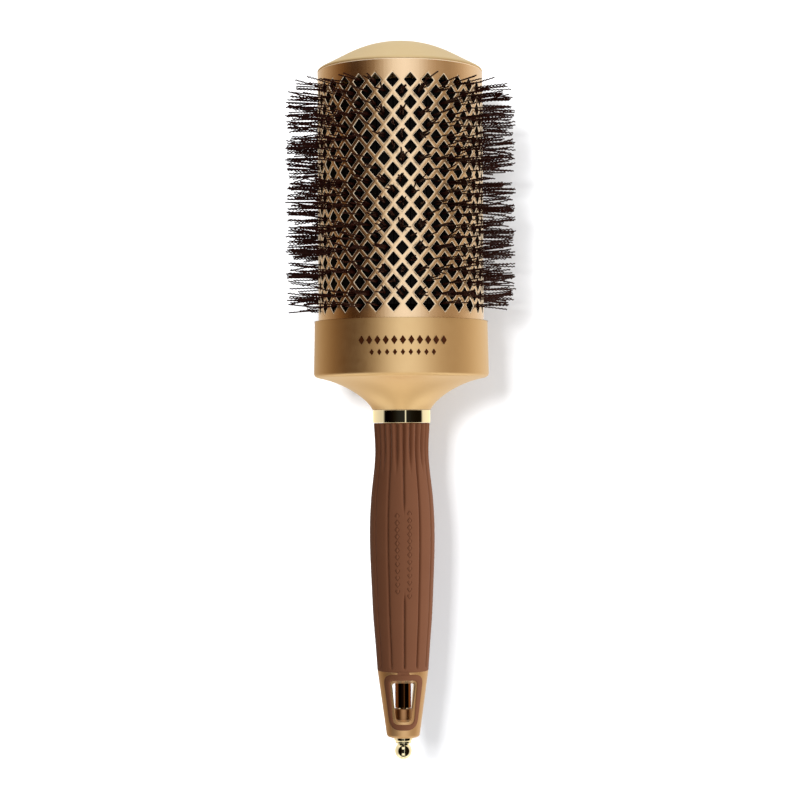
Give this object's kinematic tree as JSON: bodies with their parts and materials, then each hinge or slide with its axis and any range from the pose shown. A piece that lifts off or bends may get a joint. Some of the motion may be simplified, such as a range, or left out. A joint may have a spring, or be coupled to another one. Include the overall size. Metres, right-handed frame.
{
  "type": "round barrel brush",
  "caption": "Round barrel hair brush: vented metal barrel with crimped bristle strips, domed cap, fluted rubber grip and a sliding sectioning pick in the handle's end.",
  "frame": {"origin": "lowest point of the pick's ball with the pick pushed in, on the brush's axis", "axes": "+Z along the brush's axis from the ball to the domed cap; -Y is the front, which the handle's window faces; +X is to the right seen from the front"},
  "size_m": [0.0748, 0.075, 0.2344],
  "materials": {
    "cap_gold": "pale gold satin lacquer",
    "barrel_gold": "satin copper-gold ceramic coating, bright at the cut edges of the vents",
    "cup_gold": "satin gold lacquer",
    "polished_gold": "polished pale gold plating",
    "tip_gold": "matte gold lacquer",
    "brown_rubber": "matte soft-touch chocolate brown",
    "black_rubber": "black elastomer",
    "black_plastic": "matt black moulding",
    "nylon_bristle": "crimped nylon, near-black brown with red lights",
    "steel": "zinc-plated"
  },
  "bodies": {
    "brush": {"end_cap": "cap_gold", "barrel": "barrel_gold", "base_cup": "cup_gold", "neck_ring": "polished_gold", "handle_core": "tip_gold", "guide_bush": "tip_gold", "rubber_grip": "brown_rubber", "pick_guide_tube": "polished_gold", "pick_ferrule": "polished_gold", "friction_o_ring": "black_rubber", "inner_core": "black_plastic", "handle_screw": "steel", "screw_washer": "steel", "bristle_strip_01": "nylon_bristle", "bristle_strip_02": "nylon_bristle", "bristle_strip_03": "nylon_bristle", "bristle_strip_04": "nylon_bristle", "bristle_strip_05": "nylon_bristle", "bristle_strip_06": "nylon_bristle", "bristle_strip_07": "nylon_bristle", "bristle_strip_08": "nylon_bristle", "bristle_strip_09": "nylon_bristle", "bristle_strip_10": "nylon_bristle", "bristle_strip_11": "nylon_bristle", "bristle_strip_12": "nylon_bristle", "bristle_strip_13": "nylon_bristle", "bristle_strip_14": "nylon_bristle", "bristle_strip_15": "nylon_bristle", "bristle_strip_16": "nylon_bristle", "bristle_strip_17": "nylon_bristle", "bristle_strip_18": "nylon_bristle", "bristle_strip_19": "nylon_bristle", "bristle_strip_20": "nylon_bristle", "bristle_strip_21": "nylon_bristle", "bristle_strip_22": "nylon_bristle", "bristle_strip_23": "nylon_bristle", "bristle_strip_24": "nylon_bristle", "bristle_strip_25": "nylon_bristle", "bristle_strip_26": "nylon_bristle", "bristle_strip_27": "nylon_bristle", "bristle_strip_28": "nylon_bristle", "bristle_strip_29": "nylon_bristle", "bristle_strip_30": "nylon_bristle"},
    "pick": {"pick_ball_tip": "polished_gold", "pick_shaft": "polished_gold", "pick_stop_collar": "steel"}
  },
  "joints": [
    {"name": "pick_slide", "type": "slide", "parent": "brush", "child": "pick", "axis": [0, 0, -1], "range_m": [0, 0.045]}
  ]
}
